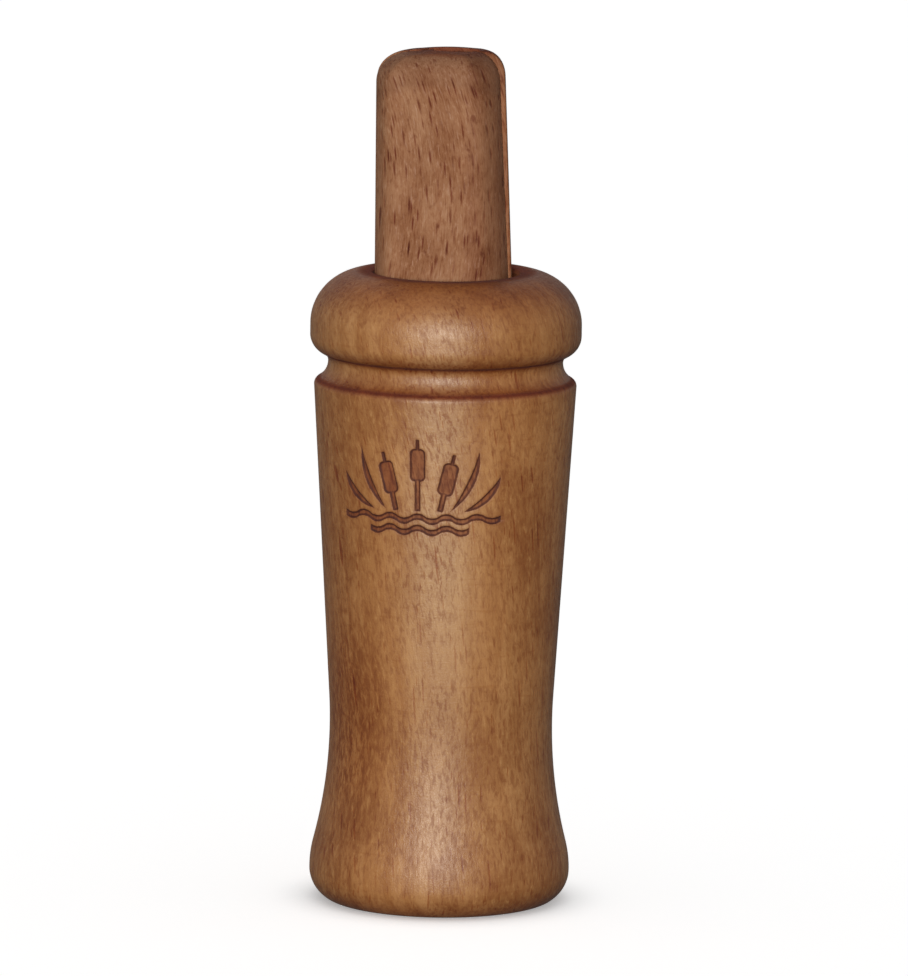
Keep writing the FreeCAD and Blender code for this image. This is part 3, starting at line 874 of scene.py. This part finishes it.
def barrel_body(graph, place, wood, cloud, curl, waist, patchy):
    """The wood's colour: golden, clouded, with a painted sheen down the front, and stained at the waist."""
    streak = graph.noise(graph.stretch(wood, 2.2, 50), detail=2.0)
    painted_sheen = patch(graph, place, (3, -17, 52), 7, 60)
    mottle = graph.calc("MULTIPLY", graph.ramp(curl, 0.46, 0.66), patchy)
    stain = graph.calc("MULTIPLY", waist, graph.ramp(curl, 0.4, 0.56))
    colour = graph.mix(graph.ramp(streak, 0.3, 0.7), (0.45, 0.22, 0.08), (0.385, 0.174, 0.056))
    colour = graph.mix(graph.ramp(cloud, 0.38, 0.68), colour, (0.3, 0.122, 0.035))
    colour = graph.mix(graph.ramp(curl, 0.46, 0.28, 0, 0.5), colour, (0.52, 0.28, 0.11))
    colour = graph.shade(colour, waist, (0.84, 0.73, 0.62))
    # Painted sheen: a paler band down the front of the barrel.
    colour = graph.mix(graph.calc("MULTIPLY", painted_sheen, 0.34), colour, (0.56, 0.37, 0.2))
    colour = graph.mix(mottle, colour, (0.25, 0.085, 0.02))
    return graph.shade(colour, stain, (0.8, 0.66, 0.52))


def barrel_relief(graph, place, fibre, curl, rays, long_rays):
    """Height of the barrel's surface: open grain outside, and tool rings in the bore."""
    grit = graph.noise(place, 3.4, 4.0, 0.7)
    waves = {"Vector": place, "Scale": 0.5, "Distortion": 0.6}
    bored = graph.add("ShaderNodeTexWave", waves, 1, bands_direction="Z")
    bored = graph.calc("MULTIPLY", bored, graph.attribute("inside"))
    return graph.pile(fibre, (rays, -0.2), (long_rays, -0.2), (curl, -1.2), (grit, 1.5), (bored, 2.0))


def barrel_roughness(graph, curl, crease, ornament):
    """A satin varnish, dull where it is burnt and bare wood where it is bored."""
    bare = graph.calc("MAXIMUM", graph.attribute("inside"), graph.calc("MULTIPLY", crease, 1.4))
    roughness = graph.ramp(curl, 0.35, 0.65, 0.36, 0.5)
    for dull in (graph.ramp(ornament, 0.2, 0.0), bare):
        roughness = graph.calc("MAXIMUM", roughness, graph.calc("MULTIPLY", dull, 0.8))
    return roughness


def barrel_wood():
    """Satin-varnished beech with red-brown ray flecks, the burnt ornament, finish and painted shade in the
    creases, and painted shade on its sides.
    """
    graph = Graph("varnished_beech")
    place = graph.place()
    wood = grain(graph, place, 5.0, math.radians(-25), 0.0011, -10.0)
    fibre = graph.noise(graph.stretch(wood, 0.3, 5), detail=3.0, roughness=0.62)
    cloud = graph.noise(graph.stretch(place, 11, 15, offset=(3, 1, 2)), detail=3.0)
    curl = graph.noise(graph.stretch(wood, 0.5, 1.5), detail=4.0, roughness=0.62, distortion=0.5)
    smudge = graph.noise(graph.stretch(place, 5, 0.6, offset=(0, 4, 7)), detail=3.0)
    rings = growth_rings(graph, wood, 2.7, 46.0, 0.05)
    long_rays = graph.spots(graph.stretch(wood, 0.9, 16.0, deep=2.6), 0.18, 0.9, 0.3)
    rays = graph.spots(graph.stretch(wood, 0.5, 4.0, deep=1.4, offset=(7, 3, 1)), 0.22, 0.8)
    crease = graph.attribute("crease")
    ornament = graph.attribute("ornament")
    waist = patch(graph, place, (-11, -11, 27), 11, 24)
    patchy = graph.calc("MAXIMUM", graph.ramp(cloud, 0.3, 0.62, 0.4, 0.9), waist)
    flank = graph.calc("ABSOLUTE", graph.axis(wood, "X"))
    on_bead = graph.ramp(graph.axis(place, "Z"), *BEAD_SHADE)
    bead_side_painted_shade = graph.calc("MULTIPLY", graph.ramp(flank, 3.0, 13.0), on_bead)

    colour = graph.shades(
        barrel_body(graph, place, wood, cloud, curl, waist, patchy),
        (graph.ramp(fibre, 0.45, 0.7), (0.94, 0.9, 0.85)),
        (graph.ramp(smudge, 0.56, 0.74, 0, 0.5), (0.82, 0.7, 0.56)),
        (graph.calc("MULTIPLY", rings, 0.5), (0.82, 0.7, 0.58)),
        (graph.calc("MULTIPLY", rays, patchy), (0.74, 0.5, 0.3)),
        (graph.calc("MULTIPLY", long_rays, patchy), (0.66, 0.38, 0.2)),
        # Painted shade: darker towards the sides of the barrel.
        (graph.ramp(flank, 2.0, 15.0), (0.93, 0.86, 0.78)),
        (facing_up_or_down(graph), (0.68, 0.49, 0.36)),
        # Painted shade on the sides of the bead.
        (bead_side_painted_shade, (0.93, 0.93, 0.92)),
        # Finish gathered in the creases, round the bore and at the mouth, darkened further there as painted
        # shade.
        (crease, (0.55, 0.24, 0.09)),
    )
    return graph.finish(
        Base_Color=burn(graph, colour, ornament, wood),
        Roughness=barrel_roughness(graph, curl, crease, ornament),
        Normal=graph.bump(barrel_relief(graph, place, fibre, curl, rays, long_rays), 0.034),
    )


def burn(graph, colour, ornament, wood):
    """Colours the ornament: scorched brown inside, with a darker line along its edge and a faint halo."""
    uneven = graph.noise(graph.stretch(wood, 0.5, 1.6), detail=3.0)
    edge = graph.calc("MULTIPLY_ADD", graph.calc("SUBTRACT", uneven, 0.5), 0.16, ornament)
    inside = graph.ramp(edge, 0.05, -0.05)
    line = graph.calc("MULTIPLY", inside, graph.ramp(edge, -0.34, -0.2))
    colour = graph.shade(colour, graph.ramp(edge, 0.45, 0.0, 0.0, 0.4), (0.62, 0.46, 0.36))
    fill = graph.shade(colour, 1.0, (0.72, 0.52, 0.42))
    fill = graph.shade(fill, graph.ramp(uneven, 0.4, 0.7), (0.66, 0.55, 0.48))
    colour = graph.mix(inside, colour, fill)
    return graph.shade(colour, graph.calc("MULTIPLY", line, 0.9), (0.36, 0.22, 0.17))


def tip_shades(graph, place):
    """The darker places of the blade, with their tints: painted shade on its shoulder and its right flank,
    and its darker tip.
    """
    across = graph.axis(place, "X")
    up = graph.axis(place, "Z")
    shoulder = graph.calc("MULTIPLY_ADD", graph.calc("POWER", across, 2.0), SHOULDER_SHADE_ARC, up)
    return (
        # Painted shade where the flat turns over into the shoulder, and on the right flank.
        (graph.ramp(shoulder, *SHOULDER_SHADE), (0.87, 0.86, 0.88)),
        (graph.ramp(across, *FLANK_SHADE), (0.82, 0.74, 0.7)),
        (graph.ramp(up, *TIP_SHADE), (0.62, 0.36, 0.28)),
    )


def mouthpiece_wood(name, seed, tone_and_painted_light):
    """Bare sanded beech: pink-brown, matte, full of short dark ray flecks, with painted shade on the blade's
    shoulder and right flank.
    """
    graph = Graph(name)
    place = graph.place()
    wood = grain(graph, place, 3.0, math.radians(4), 0.0096, 97.8)
    fibre = graph.noise(graph.stretch(wood, 0.2, 1.8, offset=seed), detail=3.0, roughness=0.65)
    streak = graph.noise(graph.stretch(wood, 1.6, 24, offset=seed), detail=2.0)
    cloud = graph.noise(graph.stretch(wood, 5, 9, offset=seed), detail=3.0)
    speckle = graph.noise(graph.stretch(wood, 0.5, 0.9, offset=seed), detail=3.0, roughness=0.6)
    rays = graph.spots(graph.stretch(wood, 0.55, 4.4, deep=1.1, offset=seed), 0.34, 0.85, 0.75)
    wide_rays = graph.spots(graph.stretch(wood, 0.9, 6.5, deep=1.6, offset=(4, 2, 6)), 0.26, 0.8, 0.75)
    stain = graph.noise(graph.stretch(wood, 1.7, 2.4, offset=(9, 3, 3)), detail=3.0)
    fuzz = graph.noise(graph.stretch(place, 0.12, 0.6), detail=4.0, roughness=0.7)
    faint = graph.ramp(cloud, 0.32, 0.6, 0.55, 1.0)

    colour = graph.mix(graph.ramp(streak, 0.3, 0.7), (0.345, 0.168, 0.081), (0.305, 0.135, 0.061))
    colour = graph.mix(graph.ramp(cloud, 0.4, 0.7), colour, (0.245, 0.098, 0.039))
    # Brightened and warmed for the board: partly its own tone, partly painted light on its edge that shows
    # past the cheek.
    colour = graph.shade(colour, 1.0, tone_and_painted_light)
    colour = graph.mix(graph.ramp(speckle, 0.46, 0.3, 0, 0.4), colour, (0.43, 0.23, 0.125))
    colour = graph.shade(colour, graph.ramp(speckle, 0.52, 0.7, 0, 0.8), (0.8, 0.7, 0.64))
    colour = graph.mix(graph.ramp(fibre, 0.44, 0.28, 0, 0.36), colour, (0.52, 0.31, 0.21))
    colour = graph.shades(
        colour,
        (graph.ramp(fibre, 0.5, 0.68), (0.78, 0.66, 0.6)),
        (graph.ramp(stain, 0.64, 0.76, 0, 0.8), (0.5, 0.28, 0.2)),
        (facing_up_or_down(graph), (0.8, 0.78, 0.8)),
        *tip_shades(graph, place),
        (graph.calc("MULTIPLY", rays, faint), (0.52, 0.24, 0.16)),
        (graph.calc("MULTIPLY", wide_rays, faint), (0.44, 0.19, 0.11)),
    )
    relief = graph.pile(fibre, (rays, -1.2), (wide_rays, -1.2), (fuzz, 0.8))
    return graph.finish(
        Base_Color=colour,
        Roughness=graph.ramp(fibre, 0.3, 0.7, 0.66, 0.84),
        Specular_IOR_Level=0.25,
        Normal=graph.bump(relief, 0.045),
    )


def reed_plastic():
    """Milky polyester sheet with fine sanding lines."""
    graph = Graph("milky_reed")
    place = graph.place()
    lines = graph.noise(graph.stretch(place, 0.08, 6), detail=3.0)
    haze = graph.noise(graph.stretch(place, 3, 3), detail=2.0)
    colour = graph.mix(graph.ramp(haze, 0.35, 0.65), (0.72, 0.735, 0.7), (0.63, 0.65, 0.61))
    return graph.finish(
        Base_Color=colour,
        Roughness=graph.ramp(lines, 0.3, 0.7, 0.28, 0.46),
        Normal=graph.bump(lines, 0.006),
    )


def cork():
    """Cut cork: tan granules with dark seams and pits."""
    graph = Graph("cut_cork")
    place = graph.place()
    cells = graph.nodes.new("ShaderNodeTexVoronoi")
    cells.feature = "DISTANCE_TO_EDGE"
    graph.put(cells.inputs["Scale"], 1.0)
    warped = graph.noise(place, 0.8, 2.0, output=1)
    moved = graph.vector("ADD", place, warped)
    graph.put(cells.inputs["Vector"], graph.stretch(moved, 1.3, 1.7))
    seams = graph.ramp(cells.outputs["Distance"], 0.06, 0.0)
    body = graph.noise(place, 1.6, 4.0, 0.65)
    pits = graph.spots(graph.stretch(place, 0.9, 1.2), 0.34, 0.45)
    colour = graph.mix(graph.ramp(body, 0.35, 0.65), (0.5, 0.3, 0.155), (0.36, 0.19, 0.085))
    colour = graph.shade(colour, graph.calc("MULTIPLY", seams, 0.6), (0.5, 0.38, 0.3))
    return graph.finish(
        Base_Color=graph.shade(colour, pits, (0.32, 0.22, 0.17)),
        Roughness=graph.ramp(body, 0.3, 0.7, 0.8, 0.92),
        Normal=graph.bump(graph.pile(body, (pits, -1.5), (seams, -1.0)), 0.12),
    )


def rubber():
    """Black ring rubber with a trace of dust and grease."""
    graph = Graph("ring_rubber")
    place = graph.place()
    dust = graph.noise(place, 0.7, 4.0, 0.65)
    skin = graph.noise(place, 7.0, 3.0, 0.6)
    colour = graph.mix(graph.ramp(dust, 0.5, 0.75, 0, 0.6), (0.012, 0.012, 0.012), (0.05, 0.046, 0.042))
    return graph.finish(
        Base_Color=colour,
        Roughness=graph.ramp(dust, 0.35, 0.7, 0.38, 0.62),
        Normal=graph.bump(skin, 0.012),
    )


# ---------------- pieces


def dress(piece, material, body, slot_name, *nodes):
    """Gives a piece its material and its body, and hides the CAD nodes that it stands for; slot_name is not
    used.
    """
    piece.data.materials.clear()
    piece.data.materials.append(material)
    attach(piece, body)
    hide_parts(*nodes)


def make_pieces():
    dress(make_barrel(), barrel_wood(), "barrel", "barrel_beech", "barrel")
    cheek_wood = mouthpiece_wood("cheek_beech", (5, 1, 3), (1.0, 1.0, 1.0))
    # The board's copy is brighter: partly its own tone, partly painted light on its edge.
    board_wood = mouthpiece_wood("board_beech", (2, 8, 6), (1.12, 1.08, 1.02))
    cheek = make_half("sanded_cheek", HALVES["cheek"], cheek_hollow)
    board = make_half("sanded_tone_board", HALVES["board"], board_hollow)
    dress(cheek, cheek_wood, "mouthpiece", "mouthpiece_beech", "front_cheek")
    dress(board, board_wood, "mouthpiece", "mouthpiece_beech", "tone_board")
    dress(make_wedge(), cork(), "mouthpiece", "cork", "cork_wedge")
    black = rubber()
    for level in ("lower", "upper"):
        dress(make_ring(level), black, "seal_rings", "ring_rubber", f"{level}_o_ring")
    reed = make_reed()
    reed.data.materials.append(reed_plastic())
    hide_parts("reed_tail", "reed_tongue")
    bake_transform(reed)


# ---------------- stage

CAMERA_TARGET = Vector((0, 0, 45.0))
CAMERA_AZIMUTH = math.radians(12.0)
CAMERA_ELEVATION = math.radians(9.52)
CAMERA_REACH = 1400.0
CAMERA_ROLL = math.radians(0.758)
CAMERA_LENS = 372.9
VIEW_RIGHT = 1.41
VIEW_UP = 13.17


def towards(azimuth, elevation):
    """Unit vector from the object to a place round it. Azimuth 0 is the front and 90 degrees is +X."""
    flat = math.cos(elevation)
    return Vector((math.sin(azimuth) * flat, -math.cos(azimuth) * flat, math.sin(elevation)))


def make_camera():
    lens = bpy.data.cameras.new("photo_camera")
    camera = bpy.data.objects.new("photo_camera", lens)
    bpy.context.scene.collection.objects.link(camera)
    bpy.context.scene.camera = camera
    lens.lens = CAMERA_LENS
    lens.sensor_width = 36
    lens.clip_start = 0.05
    lens.clip_end = 60
    distance = CAMERA_REACH / math.cos(CAMERA_ELEVATION)
    place = CAMERA_TARGET + towards(CAMERA_AZIMUTH, CAMERA_ELEVATION) * distance
    forward = (CAMERA_TARGET - place).normalized()
    right = forward.cross(Vector((0, 0, 1))).normalized()
    up = right.cross(forward)
    aim = CAMERA_TARGET + right * VIEW_RIGHT + up * VIEW_UP
    camera.location = place * MM
    look = (aim - place).to_track_quat("-Z", "Y")
    camera.rotation_mode = "QUATERNION"
    camera.rotation_quaternion = look @ Matrix.Rotation(CAMERA_ROLL, 3, "Z").to_quaternion()


def floor_paint():
    """Matte white paint with a glow that keeps it near white, dimmed as a painted contact shadow where the
    object stands over it.
    """
    graph = Graph("pale_floor")
    open_sky_for_painted_shadow = graph.add("ShaderNodeAmbientOcclusion", {"Distance": 9 * MM}, "AO", samples=8)
    return graph.finish(
        Base_Color=(0.9, 0.9, 0.9),
        Roughness=1.0,
        Specular_IOR_Level=0.0,
        Emission_Color=(1.0, 1.0, 1.0),
        # Painted contact shadow: the glow dims where the object hides the open room.
        Emission_Strength=graph.ramp(open_sky_for_painted_shadow, 0.2, 0.95, 0.35, 0.74),
    )


def make_floor():
    """A wide pale floor that is seen and shaded, with a painted contact shadow, but throws no colour up at
    the object.
    """
    shape = bmesh.new()
    bmesh.ops.create_grid(shape, x_segments=1, y_segments=1, size=14)
    mesh = bpy.data.meshes.new("floor")
    shape.to_mesh(mesh)
    shape.free()
    mesh.materials.append(floor_paint())
    floor = bpy.data.objects.new("floor", mesh)
    bpy.context.scene.collection.objects.link(floor)
    floor.visible_diffuse = False
    floor.visible_glossy = False
    return floor


def make_world(top, bottom):
    """A soft white room, dimmer below the horizon, in front of a plain white background."""
    world = bpy.data.worlds.new("soft_room")
    bpy.context.scene.world = world
    world.use_nodes = True
    nodes = world.node_tree.nodes
    links = world.node_tree.links
    coordinates = nodes.new("ShaderNodeTexCoord")
    axes = nodes.new("ShaderNodeSeparateXYZ")
    fade = nodes.new("ShaderNodeMapRange")
    fade.interpolation_type = "SMOOTHSTEP"
    limits = {"From Min": -0.35, "From Max": 0.25, "To Min": bottom, "To Max": top}
    for name, value in limits.items():
        fade.inputs[name].default_value = value
    seen = nodes.new("ShaderNodeLightPath")
    strength = nodes.new("ShaderNodeMath")
    strength.operation = "MAXIMUM"
    background = nodes["Background"]
    background.inputs["Color"].default_value = (1.0, 1.0, 1.0, 1.0)
    links.new(coordinates.outputs["Generated"], axes.inputs[0])
    links.new(axes.outputs["Z"], fade.inputs["Value"])
    links.new(fade.outputs[0], strength.inputs[0])
    links.new(seen.outputs["Is Camera Ray"], strength.inputs[1])
    links.new(strength.outputs[0], background.inputs["Strength"])


def make_light(name, azimuth, elevation, reach, size, power, spared):
    """A soft square lamp aimed at the object, which doesn't light the spared collection."""
    light = bpy.data.lights.new(name, "AREA")
    light.shape = "SQUARE"
    light.size = size
    light.energy = power
    lamp = bpy.data.objects.new(name, light)
    bpy.context.scene.collection.objects.link(lamp)
    direction = towards(math.radians(azimuth), math.radians(elevation))
    lamp.location = CAMERA_TARGET * MM + direction * reach
    lamp.rotation_mode = "QUATERNION"
    lamp.rotation_quaternion = (-direction).to_track_quat("-Z", "Y")
    lamp.light_linking.receiver_collection = spared
    return lamp


def spare(piece):
    """A collection that tells the lamps to leave this piece out."""
    spared = bpy.data.collections.new("not_lit_by_lamps")
    spared.objects.link(piece)
    spared.collection_objects[0].light_linking.link_state = "EXCLUDE"
    return spared


def make_stage():
    bpy.context.scene.view_settings.view_transform = "Standard"
    make_camera()
    spared = spare(make_floor())
    make_world(0.3, 0.12)
    make_light("key", azimuth=7, elevation=13, reach=0.9, size=0.26, power=7.0, spared=spared)
    back = make_light("back", azimuth=205, elevation=26, reach=0.9, size=0.6, power=4.2, spared=spared)
    back.visible_glossy = False


make_pieces()
make_stage()
